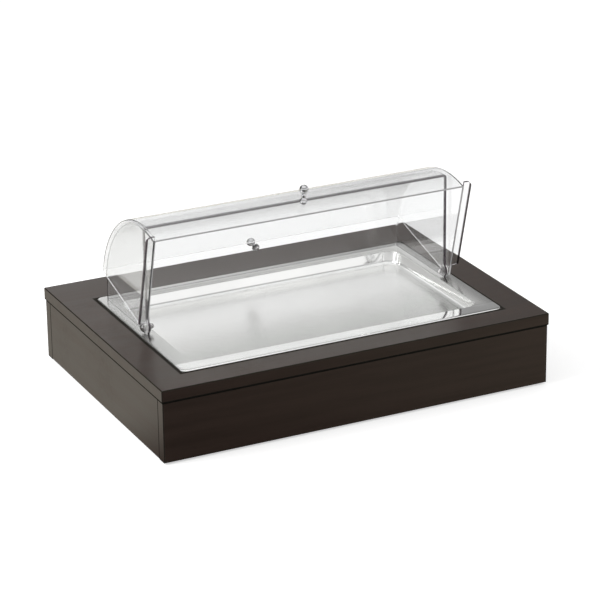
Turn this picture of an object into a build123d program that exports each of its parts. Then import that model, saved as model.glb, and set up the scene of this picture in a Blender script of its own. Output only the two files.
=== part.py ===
from build123d import *
import os
from math import asin, cos, degrees, radians, sin, sqrt

os.makedirs("parts", exist_ok=True)

# Refrigerated buffet tray in millimetres: X to the right, Y to the rear, Z up.
# The origin is under the middle of the wooden box, on the surface that it stands on.

# Wooden box
box_length = 635.0
box_depth = 455.0
box_height = 116.0
slab_thickness = 19.0
slab_overhang = 1.5
board_thickness = 18.0
edge_break = 0.8
bottom_thickness = 8.0
block_side = 32.0
foot_height = 3.0
foot_radius = 15.0

# Joinery
dowel_radius = 4.0
dowel_length = 24.0
dowel_spacing = 28.0
dowels_per_corner = 3
glue_gap = 0.05
blind_gap = 0.5
seat_gap = 0.05
tip_slope = 1.5
crown_share = 0.6
head_side_share = 0.4
screw_spread = 6.0
slab_screw_radius = 2.5
slab_screw_length = 47.0
slab_screw_grip = 35.0
slab_screw_head_radius = 5.0
slab_screw_head_height = 3.0
head_gap = 0.5
small_screw_radius = 2.0
small_screw_head_radius = 4.0
small_screw_head_height = 1.6
block_screw_bite = 10.0
block_screw_low = 24.0
block_screw_high = 69.0
foot_screw_length = 24.0
foot_screw_sink = 0.2

# Pressed steel tray, gastronorm 1/1 size
tray_length = 530.0
tray_width = 325.0
tray_shift = -17.0
tray_depth = 20.0
tray_sheet = 1.0
rim_width = 27.0
rim_height = 2.0
rim_corner_radius = 11.0
well_corner_radius = 22.0
well_floor_radius = 6.0
wall_draft = 5.0
rim_edge_radius = 1.2
rim_bend_radius = 0.9

# Cold well under the tray
opening_gap = 7.0
opening_corner_radius = 26.0
liner_wall = 1.5
liner_lip = 18.0
foam_floor = 30.0
foam_gap = 0.3
foam_side_gap = 2.0
bearer_width = 40.0
bearer_spacing = 300.0
pack_thickness = 32.0
pack_headroom = 0.5
pack_side_gap = 2.0
pack_edge_radius = 5.0
groove_count = 5
groove_width = 8.0
groove_depth = 2.5
groove_pitch = 40.0
groove_margin = 51.0
cap_radius = 12.0
cap_height = 7.0
cap_pocket_gap = 4.0
cap_inset = 34.0
neck_radius = 8.0
neck_height = 5.0
cap_fit = 0.1
cap_facets = 12

# Roll-top hood of two clear covers on one pivot line
pivot_shift = -5.0
pivot_rise = 10.0
cover_wall = 3.0
rear_radius = 156.0
rear_half_width = 251.5
cover_gap = 2.5
rear_lead = 4.0
front_lag = 4.0
front_drop = 9.5
rear_lug_radius = 9.0
open_angle = 75.0
corner_radius = 4.5
ear_width = 12.0
ear_start = 14.0
ear_reach = 6.0
ear_overlap = 6.0
ear_corner_radius = 9.0

# Pivot hardware
pivot_screw_radius = 2.5
pivot_head_radius = 5.5
pivot_head_height = 3.0
bush_radius = 4.0
bush_collar_radius = 7.0
running_gap = 0.3
bore_clearance = 0.05
washer_thickness = 1.0
washer_radius = 7.0
nut_flats = 8.0
nut_height = 4.0
dome_height = 3.5

# Knobs
knob_angle = 8.5
ball_radius = 7.0
ball_rise = 20.0
neck_top_radius = 3.0
waist_out_share = 1 / 5
waist_up_share = 1 / 3
collar_radius = 6.0
collar_height = 3.0
knob_screw_radius = 2.0
knob_screw_depth = 9.0
knob_washer_radius = 4.5
knob_washer_thickness = 0.8
knob_head_radius = 3.8
knob_head_height = 2.2

# Levels and places that follow from the sizes above
body_top = box_height - slab_thickness
board_height = body_top - foot_height
outer_x = box_length / 2 - slab_overhang
outer_y = box_depth / 2 - slab_overhang
inner_x = outer_x - board_thickness
inner_y = outer_y - board_thickness
floor_top = foot_height + bottom_thickness
block_height = body_top - floor_top
block_x = inner_x - block_side / 2
block_y = inner_y - block_side / 2
side_board_x = inner_x + board_thickness / 2
inner_screw_x = block_x - screw_spread
inner_screw_y = block_y - screw_spread
outer_screw_x = block_x + screw_spread
outer_screw_y = block_y + screw_spread
rim_top = box_height + rim_height
well_length = tray_length - 2 * rim_width
well_width = tray_width - 2 * rim_width
tray_floor = rim_top - tray_depth
opening_length = well_length + 2 * opening_gap
opening_width = well_width + 2 * opening_gap
pack_top = tray_floor - tray_sheet - pack_headroom
pack_base = pack_top - pack_thickness
liner_base = pack_base - liner_wall
liner_top = body_top
foam_top = liner_top - liner_wall
foam_base = liner_base - foam_floor
pivot_y = tray_shift + pivot_shift
pivot_z = rim_top + pivot_rise
front_radius = rear_radius + cover_gap + cover_wall
front_half_width = rear_half_width + cover_gap + cover_wall
front_inner_radius = front_radius - cover_wall
rear_inner_radius = rear_radius - cover_wall
front_corner_reach = sqrt(front_radius**2 - front_drop**2)
stop_offset = front_lag + collar_radius + running_gap
rear_knob_angle = 90 - open_angle - degrees(asin(stop_offset / (front_inner_radius + collar_height / 2)))

tray_centre = Location((0, tray_shift))
corner_signs = [(-1, -1), (1, -1), (-1, 1), (1, 1)]
dowel_heights = [
    foot_height + board_height / 2 + (step - (dowels_per_corner - 1) / 2) * dowel_spacing
    for step in range(dowels_per_corner)
]

# Planes of the two covers: local x points along the rim of the cover, local y away from it.
# The front cover's plane stands turned back by the open angle, as it is shown at rest.
turn = radians(open_angle)
front_along = Vector(0, -cos(turn), sin(turn))
front_away = Vector(0, sin(turn), cos(turn))
pivot_point = Vector(0, pivot_y, pivot_z)
front_plane = Plane(origin=pivot_point, x_dir=front_along, z_dir=(-1, 0, 0))
rear_plane = Plane(origin=pivot_point, x_dir=(0, 1, 0), z_dir=(1, 0, 0))


def pan_head_screw(shank_radius, length, head_radius, head_height):
    """A screw whose head stands on the origin and whose shank runs down -Z."""
    tip = shank_radius * tip_slope
    with BuildPart() as screw:
        with BuildSketch(Plane.XZ):
            with BuildLine():
                Polyline(
                    (0, head_height),
                    (head_radius * crown_share, head_height),
                    (head_radius, head_height * head_side_share),
                    (head_radius, 0),
                    (shank_radius, 0),
                    (shank_radius, tip - length),
                    (0, -length),
                    close=True,
                )
            make_face()
        revolve(axis=Axis.Z)
    return screw.part


def disc_washer(outer_radius, hole_radius, thickness):
    """A flat washer standing on the origin."""
    with BuildPart() as washer:
        with BuildSketch():
            Circle(outer_radius)
            Circle(hole_radius, mode=Mode.SUBTRACT)
        extrude(amount=thickness)
    return washer.part


# Front and rear boards run the full length, so their ends show on the sides of the box.
for side, name in ((-1, "front_board"), (1, "rear_board")):
    with BuildPart() as long_board:
        with BuildSketch(Plane.XY.offset(foot_height)):
            with Locations((0, side * (outer_y - board_thickness / 2))):
                Rectangle(2 * outer_x, board_thickness)
        extrude(amount=board_height)
        outer_face = long_board.faces().sort_by(Axis.Y)[-1 if side > 0 else 0]
        chamfer(outer_face.edges(), length=edge_break)
        with Locations(
            *[
                Plane((sign * side_board_x, side * inner_y, height), z_dir=(0, -side, 0))
                for sign in (-1, 1)
                for height in dowel_heights
            ]
        ):
            Hole(dowel_radius + glue_gap, depth=dowel_length / 2 + blind_gap)
        with Locations(
            *[
                Plane((sign * inner_screw_x, side * inner_y, floor_top + height), z_dir=(0, -side, 0))
                for sign in (-1, 1)
                for height in (block_screw_low, block_screw_high)
            ]
        ):
            Hole(small_screw_radius + glue_gap, depth=block_screw_bite + blind_gap)
    long_board.part.label = name
    export_step(long_board.part, f"parts/{name}.step")

# Side boards stand between the front and rear boards.
for side, name in ((-1, "left_board"), (1, "right_board")):
    with BuildPart() as side_board:
        with BuildSketch(Plane.XY.offset(foot_height)):
            with Locations((side * (outer_x - board_thickness / 2), 0)):
                Rectangle(board_thickness, 2 * inner_y)
        extrude(amount=board_height)
        outer_face = side_board.faces().sort_by(Axis.X)[-1 if side > 0 else 0]
        chamfer(outer_face.edges().filter_by(Axis.Y), length=edge_break)
        with Locations(
            *[
                Plane((side * side_board_x, end * inner_y, height), z_dir=(0, end, 0))
                for end in (-1, 1)
                for height in dowel_heights
            ]
        ):
            Hole(dowel_radius + glue_gap, depth=dowel_length / 2 + blind_gap)
    side_board.part.label = name
    export_step(side_board.part, f"parts/{name}.step")

# Wooden dowels across the corner joints
with BuildPart() as board_dowels:
    with Locations(
        *[
            Plane((x * side_board_x, y * inner_y, height), z_dir=(0, 1, 0))
            for x, y in corner_signs
            for height in dowel_heights
        ]
    ):
        Cylinder(dowel_radius, dowel_length)
board_dowels.part.label = "board_dowels"
export_step(board_dowels.part, "parts/board_dowels.step")

# Bottom board, let in between the four boards
with BuildPart() as bottom_board:
    with BuildSketch(Plane.XY.offset(foot_height)):
        Rectangle(2 * inner_x, 2 * inner_y)
    extrude(amount=bottom_thickness)
    with Locations(*[(x * inner_screw_x, y * inner_screw_y, floor_top) for x, y in corner_signs]):
        Hole(small_screw_radius + glue_gap)
bottom_board.part.label = "bottom_board"
export_step(bottom_board.part, "parts/bottom_board.step")

# Corner blocks, bored for the slab screws from below, the foot screws and the board screws
with BuildPart() as corner_blocks:
    with BuildSketch(Plane.XY.offset(floor_top)):
        with GridLocations(2 * block_x, 2 * block_y, 2, 2):
            Rectangle(block_side, block_side)
    extrude(amount=block_height)
    with Locations(
        *[
            Plane((x * outer_screw_x, y * outer_screw_y, floor_top), z_dir=(0, 0, -1))
            for x, y in corner_signs
        ]
    ):
        CounterBoreHole(
            radius=slab_screw_radius + glue_gap,
            counter_bore_radius=slab_screw_head_radius + head_gap,
            counter_bore_depth=block_height - slab_screw_grip,
            depth=block_height,
        )
    with Locations(
        *[
            Plane((x * inner_screw_x, y * inner_screw_y, floor_top), z_dir=(0, 0, -1))
            for x, y in corner_signs
        ]
    ):
        Hole(
            small_screw_radius + glue_gap,
            depth=foot_screw_length - floor_top + small_screw_head_height + blind_gap,
        )
    with Locations(
        *[
            Plane((x * inner_screw_x, y * (inner_y - block_side), floor_top + height), z_dir=(0, -y, 0))
            for x, y in corner_signs
            for height in (block_screw_low, block_screw_high)
        ]
    ):
        Hole(small_screw_radius + glue_gap, depth=block_side)
corner_blocks.part.label = "corner_blocks"
export_step(corner_blocks.part, "parts/corner_blocks.step")

# Screws from the corner blocks into the front and rear boards
block_screw_length = block_side + block_screw_bite
block_screw = pan_head_screw(
    small_screw_radius, block_screw_length, small_screw_head_radius, small_screw_head_height
)
with BuildPart() as block_screws:
    with Locations(
        *[
            Plane((x * inner_screw_x, y * (inner_y - block_side), floor_top + height), z_dir=(0, -y, 0))
            for x, y in corner_signs
            for height in (block_screw_low, block_screw_high)
        ]
    ):
        add(block_screw)
block_screws.part.label = "block_screws"
export_step(block_screws.part, "parts/block_screws.step")

# Screws up through the corner blocks into the slab
slab_screw = pan_head_screw(
    slab_screw_radius, slab_screw_length, slab_screw_head_radius, slab_screw_head_height
)
with BuildPart() as slab_screws:
    with Locations(
        *[
            Plane((x * outer_screw_x, y * outer_screw_y, body_top - slab_screw_grip), z_dir=(0, 0, -1))
            for x, y in corner_signs
        ]
    ):
        add(slab_screw)
slab_screws.part.label = "slab_screws"
export_step(slab_screws.part, "parts/slab_screws.step")

# Top slab with the opening that the tray hangs in
with BuildPart() as top_frame:
    with BuildSketch(Plane.XY.offset(body_top)):
        Rectangle(box_length, box_depth)
    extrude(amount=slab_thickness)
    chamfer(top_frame.edges(), length=edge_break)
    with BuildSketch(Plane.XY.offset(body_top)):
        with Locations(tray_centre):
            RectangleRounded(opening_length, opening_width, opening_corner_radius)
    extrude(amount=slab_thickness, mode=Mode.SUBTRACT)
    with Locations(
        *[
            Plane((x * outer_screw_x, y * outer_screw_y, body_top), z_dir=(0, 0, -1))
            for x, y in corner_signs
        ]
    ):
        Hole(slab_screw_radius + glue_gap, depth=slab_screw_length - slab_screw_grip + blind_gap)
top_frame.part.label = "top_frame"
export_step(top_frame.part, "parts/top_frame.step")

# Feet under the corner blocks, with their screws
with BuildPart() as feet:
    with Locations(*[(x * inner_screw_x, y * inner_screw_y) for x, y in corner_signs]):
        Cylinder(foot_radius, foot_height, align=(Align.CENTER, Align.CENTER, Align.MIN))
    chamfer(feet.edges().group_by(Axis.Z)[0], length=edge_break)
    with Locations(
        *[
            Plane((x * inner_screw_x, y * inner_screw_y, 0), z_dir=(0, 0, -1))
            for x, y in corner_signs
        ]
    ):
        CounterBoreHole(
            radius=small_screw_radius + glue_gap,
            counter_bore_radius=small_screw_head_radius + head_gap,
            counter_bore_depth=foot_screw_sink + small_screw_head_height,
            depth=foot_height,
        )
feet.part.label = "feet"
export_step(feet.part, "parts/feet.step")

foot_head_level = foot_screw_sink + small_screw_head_height
foot_screw = pan_head_screw(
    small_screw_radius, foot_screw_length, small_screw_head_radius, small_screw_head_height
)
with BuildPart() as foot_screws:
    with Locations(
        *[
            Plane((x * inner_screw_x, y * inner_screw_y, foot_head_level), z_dir=(0, 0, -1))
            for x, y in corner_signs
        ]
    ):
        add(foot_screw)
foot_screws.part.label = "foot_screws"
export_step(foot_screws.part, "parts/foot_screws.step")

# Bearers that lift the foam tub off the bottom board
with BuildPart() as well_bearers:
    with BuildSketch(Plane.XY.offset(floor_top)):
        with GridLocations(bearer_spacing, 0, 2, 1):
            Rectangle(bearer_width, 2 * (inner_y - foam_side_gap))
    extrude(amount=foam_base - floor_top)
well_bearers.part.label = "well_bearers"
export_step(well_bearers.part, "parts/well_bearers.step")

# Foam tub, notched round the corner blocks
with BuildPart() as foam_insulation:
    with BuildSketch(Plane.XY.offset(foam_base)):
        Rectangle(2 * (inner_x - foam_side_gap), 2 * (inner_y - foam_side_gap))
        with GridLocations(2 * block_x, 2 * block_y, 2, 2):
            Rectangle(block_side + 2 * foam_side_gap, block_side + 2 * foam_side_gap, mode=Mode.SUBTRACT)
    extrude(amount=foam_top - foam_base)
    with BuildSketch(Plane.XY.offset(liner_base)):
        with Locations(tray_centre):
            RectangleRounded(
                opening_length + 2 * (liner_wall + foam_gap),
                opening_width + 2 * (liner_wall + foam_gap),
                opening_corner_radius + liner_wall + foam_gap,
            )
    extrude(amount=foam_top - liner_base, mode=Mode.SUBTRACT)
foam_insulation.part.label = "foam_insulation"
export_step(foam_insulation.part, "parts/foam_insulation.step")

# Liner of the cold well, whose lip is held between the foam and the slab
with BuildPart() as well_liner:
    with BuildSketch(Plane.XY.offset(liner_base)):
        with Locations(tray_centre):
            RectangleRounded(
                opening_length + 2 * liner_wall,
                opening_width + 2 * liner_wall,
                opening_corner_radius + liner_wall,
            )
    extrude(amount=liner_top - liner_base)
    with BuildSketch(Plane.XY.offset(foam_top)):
        with Locations(tray_centre):
            RectangleRounded(
                opening_length + 2 * liner_lip,
                opening_width + 2 * liner_lip,
                opening_corner_radius + liner_lip,
            )
    extrude(amount=liner_wall)
    with BuildSketch(Plane.XY.offset(pack_base)):
        with Locations(tray_centre):
            RectangleRounded(opening_length, opening_width, opening_corner_radius)
    extrude(amount=liner_top - pack_base, mode=Mode.SUBTRACT)
well_liner.part.label = "well_liner"
export_step(well_liner.part, "parts/well_liner.step")

# Two cold packs side by side, grooved on top, each with a filler neck in a pocket
pack_length = opening_length / 2 - 2 * pack_side_gap
pack_width = opening_width - 2 * pack_side_gap
pack_corner_radius = opening_corner_radius - pack_side_gap
pack_x = opening_length / 4
cap_y = tray_shift - pack_width / 2 + cap_inset
pocket_depth = cap_height + blind_gap
for side, name in ((-1, "cold_pack_left"), (1, "cold_pack_right")):
    with BuildPart() as cold_pack:
        with BuildSketch(Plane.XY.offset(pack_base)):
            with Locations((side * pack_x, tray_shift)):
                RectangleRounded(pack_length, pack_width, pack_corner_radius)
        extrude(amount=pack_thickness)
        rims = cold_pack.edges().group_by(Axis.Z)
        fillet(rims[0] + rims[-1], radius=pack_edge_radius)
        with BuildSketch(Plane.XY.offset(pack_top)):
            with Locations((side * pack_x, tray_shift + cap_inset / 2)):
                with GridLocations(groove_pitch, 0, groove_count, 1):
                    SlotOverall(pack_width - 2 * groove_margin, groove_width, rotation=90)
        extrude(amount=-groove_depth, mode=Mode.SUBTRACT)
        with BuildSketch(Plane.XY.offset(pack_top)):
            with Locations((side * pack_x, cap_y)):
                Circle(cap_radius + cap_pocket_gap)
        extrude(amount=-pocket_depth, mode=Mode.SUBTRACT)
        with BuildSketch(Plane.XY.offset(pack_top - pocket_depth)):
            with Locations((side * pack_x, cap_y)):
                Circle(neck_radius)
        extrude(amount=neck_height)
    cold_pack.part.label = name
    export_step(cold_pack.part, f"parts/{name}.step")

# Screw caps of the cold packs
with BuildPart() as cold_pack_caps:
    with BuildSketch(Plane.XY.offset(pack_top - pocket_depth)):
        with Locations((-pack_x, cap_y), (pack_x, cap_y)):
            RegularPolygon(cap_radius, side_count=cap_facets)
    extrude(amount=cap_height)
    chamfer(cold_pack_caps.edges().group_by(Axis.Z)[-1], length=edge_break)
    with BuildSketch(Plane.XY.offset(pack_top - pocket_depth)):
        with Locations((-pack_x, cap_y), (pack_x, cap_y)):
            Circle(neck_radius + cap_fit)
    extrude(amount=neck_height + cap_fit, mode=Mode.SUBTRACT)
cold_pack_caps.part.label = "cold_pack_caps"
export_step(cold_pack_caps.part, "parts/cold_pack_caps.step")

# Hollow of the pressed tray: drafted walls that run into the floor in a radius
with BuildPart() as tray_hollow:
    with BuildSketch(Plane.XY.offset(rim_top)):
        with Locations(tray_centre):
            RectangleRounded(well_length, well_width, well_corner_radius)
    extrude(amount=-tray_depth, taper=wall_draft)
    fillet(tray_hollow.edges().group_by(Axis.Z)[0], radius=well_floor_radius)

# Pressed tray: the same form one sheet thicker, with a flat rim turned down at its edge
with BuildPart() as steel_tray:
    with BuildSketch(Plane.XY.offset(rim_top)):
        with Locations(tray_centre):
            RectangleRounded(
                well_length + 2 * tray_sheet, well_width + 2 * tray_sheet, well_corner_radius + tray_sheet
            )
    extrude(amount=-(tray_depth + tray_sheet), taper=wall_draft)
    fillet(steel_tray.edges().group_by(Axis.Z)[0], radius=well_floor_radius + tray_sheet)
    with BuildSketch(Plane.XY.offset(box_height)):
        with Locations(tray_centre):
            RectangleRounded(tray_length, tray_width, rim_corner_radius)
    extrude(amount=rim_height)
    top_edges = steel_tray.faces().sort_by(Axis.Z)[-1].edges()
    fillet(top_edges, radius=rim_edge_radius)
    with BuildSketch(Plane.XY.offset(box_height)):
        with Locations(tray_centre):
            RectangleRounded(
                tray_length - 2 * tray_sheet, tray_width - 2 * tray_sheet, rim_corner_radius - tray_sheet
            )
            RectangleRounded(
                well_length + 2 * tray_sheet,
                well_width + 2 * tray_sheet,
                well_corner_radius + tray_sheet,
                mode=Mode.SUBTRACT,
            )
    extrude(amount=rim_height - tray_sheet, mode=Mode.SUBTRACT)
    add(tray_hollow.part, mode=Mode.SUBTRACT)
    well_mouth = steel_tray.faces().sort_by(Axis.Z)[-1].inner_wires()[0].edges()
    fillet(well_mouth, radius=rim_bend_radius)
steel_tray.part.label = "steel_tray"
export_step(steel_tray.part, "parts/steel_tray.step")

# Rear cover: a quarter barrel with end walls, standing on the rim of the tray
rear_edge_height = sqrt(rear_radius**2 - rear_lead**2)
rear_lug_height = sqrt(rear_lug_radius**2 - rear_lead**2)
with BuildPart() as rear_cover:
    with BuildSketch(rear_plane):
        with BuildLine():
            Line((-rear_lead, -pivot_rise), (rear_radius, -pivot_rise))
            Line((rear_radius, -pivot_rise), (rear_radius, 0))
            ThreePointArc(
                (rear_radius, 0),
                (rear_radius * cos(radians(45)), rear_radius * sin(radians(45))),
                (-rear_lead, rear_edge_height),
            )
            Line((-rear_lead, rear_edge_height), (-rear_lead, rear_lug_height))
            ThreePointArc(
                (-rear_lead, rear_lug_height), (-rear_lug_radius, 0), (-rear_lead, -rear_lug_height)
            )
            Line((-rear_lead, -rear_lug_height), (-rear_lead, -pivot_rise))
        make_face()
    extrude(amount=rear_half_width, both=True)
    barrel_ends = rear_cover.edges().filter_by(GeomType.CIRCLE).group_by(SortBy.LENGTH)[-1]
    rear_falls = rear_cover.edges().filter_by(Axis.Z).group_by(Axis.Y)[-1]
    fillet(barrel_ends + rear_falls, radius=corner_radius)
    with BuildSketch(rear_plane):
        Circle(rear_inner_radius)
        with Locations((rear_inner_radius / 2, -pivot_rise / 2)):
            Rectangle(rear_inner_radius, pivot_rise)
    extrude(amount=rear_half_width - cover_wall, both=True, mode=Mode.SUBTRACT)
    with Locations(Plane(pivot_point + Vector(rear_half_width, 0, 0), z_dir=(1, 0, 0))):
        Hole(pivot_screw_radius + bore_clearance, depth=2 * rear_half_width)
    rear_knob_out = Vector(0, cos(radians(rear_knob_angle)), sin(radians(rear_knob_angle)))
    with Locations(Plane(pivot_point + rear_knob_out * rear_radius, z_dir=rear_knob_out)):
        Hole(knob_screw_radius + bore_clearance, depth=2 * cover_wall)
rear_cover.part.label = "rear_cover"
export_step(rear_cover.part, "parts/rear_cover.step")

# Front cover: a wider quarter barrel that rolls back over the rear one
front_start = -degrees(asin(front_drop / front_radius))
front_end = 90 + degrees(asin(front_lag / front_radius))
lug_turn = 90 + degrees(asin(front_lag / front_drop))
front_seam_height = sqrt(front_radius**2 - front_lag**2)
front_lug_height = sqrt(front_drop**2 - front_lag**2)
front_knob_out = front_along * cos(radians(knob_angle)) + front_away * sin(radians(knob_angle))
ear_plane = Plane(pivot_point - front_away * front_drop, x_dir=(1, 0, 0), z_dir=front_away)
ear_tip = front_corner_reach + ear_reach
ear_middle = front_half_width + (ear_width - ear_overlap) / 2
with BuildPart() as front_cover:
    with BuildSketch(front_plane):
        with BuildLine():
            Line((0, -front_drop), (front_corner_reach, -front_drop))
            CenterArc((0, 0), front_radius, front_start, front_end - front_start)
            Line((-front_lag, front_seam_height), (-front_lag, front_lug_height))
            CenterArc((0, 0), front_drop, lug_turn, 270 - lug_turn)
        make_face()
    extrude(amount=front_half_width, both=True)
    barrel_ends = front_cover.edges().filter_by(GeomType.CIRCLE).group_by(SortBy.LENGTH)[-1]
    fillet(barrel_ends, radius=corner_radius)
    with BuildSketch(ear_plane) as ear_outline:
        with Locations((-ear_middle, -(ear_start + ear_tip) / 2), (ear_middle, -(ear_start + ear_tip) / 2)):
            Rectangle(ear_width + ear_overlap, ear_tip - ear_start)
        tips = ear_outline.vertices().group_by(Axis.Y)[0].sort_by(Axis.X)
        fillet([tips[0], tips[-1]], radius=ear_corner_radius)
    extrude(amount=cover_wall)
    with BuildSketch(front_plane):
        Circle(front_inner_radius)
    extrude(amount=front_half_width - cover_wall, both=True, mode=Mode.SUBTRACT)
    with Locations(Plane(pivot_point + Vector(front_half_width, 0, 0), z_dir=(1, 0, 0))):
        Hole(bush_radius + bore_clearance, depth=2 * front_half_width)
    with Locations(Plane(pivot_point + front_knob_out * front_radius, z_dir=front_knob_out)):
        Hole(knob_screw_radius + bore_clearance, depth=2 * cover_wall)
front_cover.part.label = "front_cover"
export_step(front_cover.part, "parts/front_cover.step")

# Pivot hardware at each end: a collared bush between the covers, a screw and a cap nut
stack_height = cover_gap + cover_wall + running_gap
pivot_screw_length = stack_height + washer_thickness + cover_wall + washer_thickness + nut_height
with BuildPart() as cap_nut:
    with BuildSketch():
        RegularPolygon(nut_flats / 2, side_count=6, major_radius=False)
    extrude(amount=nut_height)
    with BuildSketch(Plane.XZ):
        with BuildLine():
            Line((0, nut_height), (nut_flats / 2, nut_height))
            ThreePointArc(
                (nut_flats / 2, nut_height),
                (nut_flats / 2 * cos(radians(45)), nut_height + dome_height * sin(radians(45))),
                (0, nut_height + dome_height),
            )
            Line((0, nut_height + dome_height), (0, nut_height))
        make_face()
    revolve(axis=Axis.Z)
    with Locations(Plane((0, 0, 0), z_dir=(0, 0, -1))):
        Hole(pivot_screw_radius + bore_clearance, depth=nut_height + blind_gap)

pivot_screw_form = pan_head_screw(
    pivot_screw_radius, pivot_screw_length, pivot_head_radius, pivot_head_height
)
for side, name in ((-1, "left"), (1, "right")):
    outward = Plane((side * rear_half_width, pivot_y, pivot_z), z_dir=(side, 0, 0))
    nut_seat = rear_half_width - cover_wall - washer_thickness
    inward = Plane((side * nut_seat, pivot_y, pivot_z), z_dir=(-side, 0, 0))
    with BuildPart() as pivot_bush:
        with BuildSketch(outward):
            Circle(bush_collar_radius)
        extrude(amount=cover_gap - running_gap)
        with BuildSketch(outward):
            Circle(bush_radius)
        extrude(amount=stack_height)
        with Locations(outward.offset(stack_height)):
            Hole(pivot_screw_radius + bore_clearance, depth=stack_height)
    pivot_bush.part.label = f"pivot_bush_{name}"
    export_step(pivot_bush.part, f"parts/pivot_bush_{name}.step")

    with BuildPart() as pivot_screw:
        with Locations(outward.offset(stack_height + washer_thickness)):
            add(pivot_screw_form)
    pivot_screw.part.label = f"pivot_screw_{name}"
    export_step(pivot_screw.part, f"parts/pivot_screw_{name}.step")

    with BuildPart() as pivot_nut:
        with Locations(inward):
            add(cap_nut.part)
    pivot_nut.part.label = f"cap_nut_{name}"
    export_step(pivot_nut.part, f"parts/cap_nut_{name}.step")

pivot_washer = disc_washer(washer_radius, pivot_screw_radius + bore_clearance, washer_thickness)
with BuildPart() as pivot_washers:
    for side in (-1, 1):
        with Locations(
            Plane((side * (rear_half_width + stack_height), pivot_y, pivot_z), z_dir=(side, 0, 0)),
            Plane((side * (rear_half_width - cover_wall), pivot_y, pivot_z), z_dir=(-side, 0, 0)),
        ):
            add(pivot_washer)
pivot_washers.part.label = "pivot_washers"
export_step(pivot_washers.part, "parts/pivot_washers.step")

# Ball knobs on a waisted neck, each drawn down on its cover by a screw and washer from inside
ball_foot = ball_rise - sqrt(ball_radius**2 - neck_top_radius**2)
waist_radius = neck_top_radius + (collar_radius - neck_top_radius) * waist_out_share
waist_level = collar_height + (ball_foot - collar_height) * waist_up_share
with BuildPart() as ball_knob:
    with BuildSketch(Plane.XZ):
        with BuildLine():
            Polyline(
                (0, ball_rise + ball_radius),
                (0, 0),
                (collar_radius, 0),
                (collar_radius, collar_height - edge_break),
                (collar_radius - edge_break, collar_height),
            )
            ThreePointArc(
                (collar_radius - edge_break, collar_height),
                (waist_radius, waist_level),
                (neck_top_radius, ball_foot),
            )
            ThreePointArc(
                (neck_top_radius, ball_foot), (ball_radius, ball_rise), (0, ball_rise + ball_radius)
            )
        make_face()
    revolve(axis=Axis.Z)
    with Locations(Plane((0, 0, 0), z_dir=(0, 0, -1))):
        Hole(knob_screw_radius + bore_clearance, depth=knob_screw_depth)

knob_washer = disc_washer(knob_washer_radius, knob_screw_radius + bore_clearance, knob_washer_thickness)
for name, out, outer_radius in (
    ("front", front_knob_out, front_radius),
    ("rear", rear_knob_out, rear_radius),
):
    bore_radius = outer_radius - cover_wall
    washer_seat = bore_radius - knob_washer_radius**2 / (2 * bore_radius) - seat_gap
    head_seat = washer_seat - knob_washer_thickness
    with BuildPart() as knob:
        with Locations(Plane(pivot_point + out * outer_radius, z_dir=out)):
            add(ball_knob.part)
    knob.part.label = f"{name}_knob"
    export_step(knob.part, f"parts/{name}_knob.step")

    with BuildPart() as washer:
        with Locations(Plane(pivot_point + out * washer_seat, z_dir=-out)):
            add(knob_washer)
    washer.part.label = f"{name}_knob_washer"
    export_step(washer.part, f"parts/{name}_knob_washer.step")

    with BuildPart() as knob_screw:
        with Locations(Plane(pivot_point + out * head_seat, z_dir=-out)):
            add(
                pan_head_screw(
                    knob_screw_radius,
                    outer_radius - head_seat + knob_screw_depth - blind_gap,
                    knob_head_radius,
                    knob_head_height,
                )
            )
    knob_screw.part.label = f"{name}_knob_screw"
    export_step(knob_screw.part, f"parts/{name}_knob_screw.step")
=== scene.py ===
import bmesh
import bpy
import math
from mathutils import Matrix, Vector


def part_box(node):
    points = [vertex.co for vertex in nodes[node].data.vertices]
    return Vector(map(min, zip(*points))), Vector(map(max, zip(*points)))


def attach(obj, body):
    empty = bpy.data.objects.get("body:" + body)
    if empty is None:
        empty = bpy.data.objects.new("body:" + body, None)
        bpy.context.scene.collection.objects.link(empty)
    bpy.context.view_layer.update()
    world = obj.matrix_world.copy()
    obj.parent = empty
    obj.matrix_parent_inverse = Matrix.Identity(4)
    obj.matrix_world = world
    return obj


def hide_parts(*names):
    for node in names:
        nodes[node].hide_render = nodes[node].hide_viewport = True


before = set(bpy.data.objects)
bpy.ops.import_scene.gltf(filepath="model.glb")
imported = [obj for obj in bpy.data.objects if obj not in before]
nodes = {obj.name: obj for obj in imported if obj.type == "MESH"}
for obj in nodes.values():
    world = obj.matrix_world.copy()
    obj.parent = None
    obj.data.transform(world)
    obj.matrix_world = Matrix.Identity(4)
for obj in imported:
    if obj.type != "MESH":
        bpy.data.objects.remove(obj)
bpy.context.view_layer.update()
print("frame loaded:", len(nodes), "CAD nodes")

# distance and cosine within which two places or two directions count as the same
tiny = 0.00002
aligned = 0.99
# X of a normal above which a face belongs to an end wall
endTilt = 0.5
smoothAngle = math.radians(30)
seedSize = 0.001
white = (1, 1, 1)


# modelling helpers

def deselectAll():
    bpy.ops.object.select_all(action="DESELECT")


def pick(kind, test):
    # selects the parts of the mesh in edit mode that pass the test
    bpy.ops.mesh.select_mode(type=kind)
    bpy.ops.mesh.select_all(action="DESELECT")
    mesh = bmesh.from_edit_mesh(bpy.context.object.data)
    mesh.normal_update()
    parts = {"VERT": mesh.verts, "EDGE": mesh.edges, "FACE": mesh.faces}[kind]
    for part in parts:
        if test(part):
            part.select_set(True)
    mesh.select_flush_mode()
    bmesh.update_edit_mesh(bpy.context.object.data)


def settle(name):
    # a new primitive keeps its place in its mesh, and its object goes to the origin unturned
    bpy.ops.object.transform_apply(location=True, rotation=True, scale=True)
    bpy.context.object.name = name
    bpy.context.object.data.name = name


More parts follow.
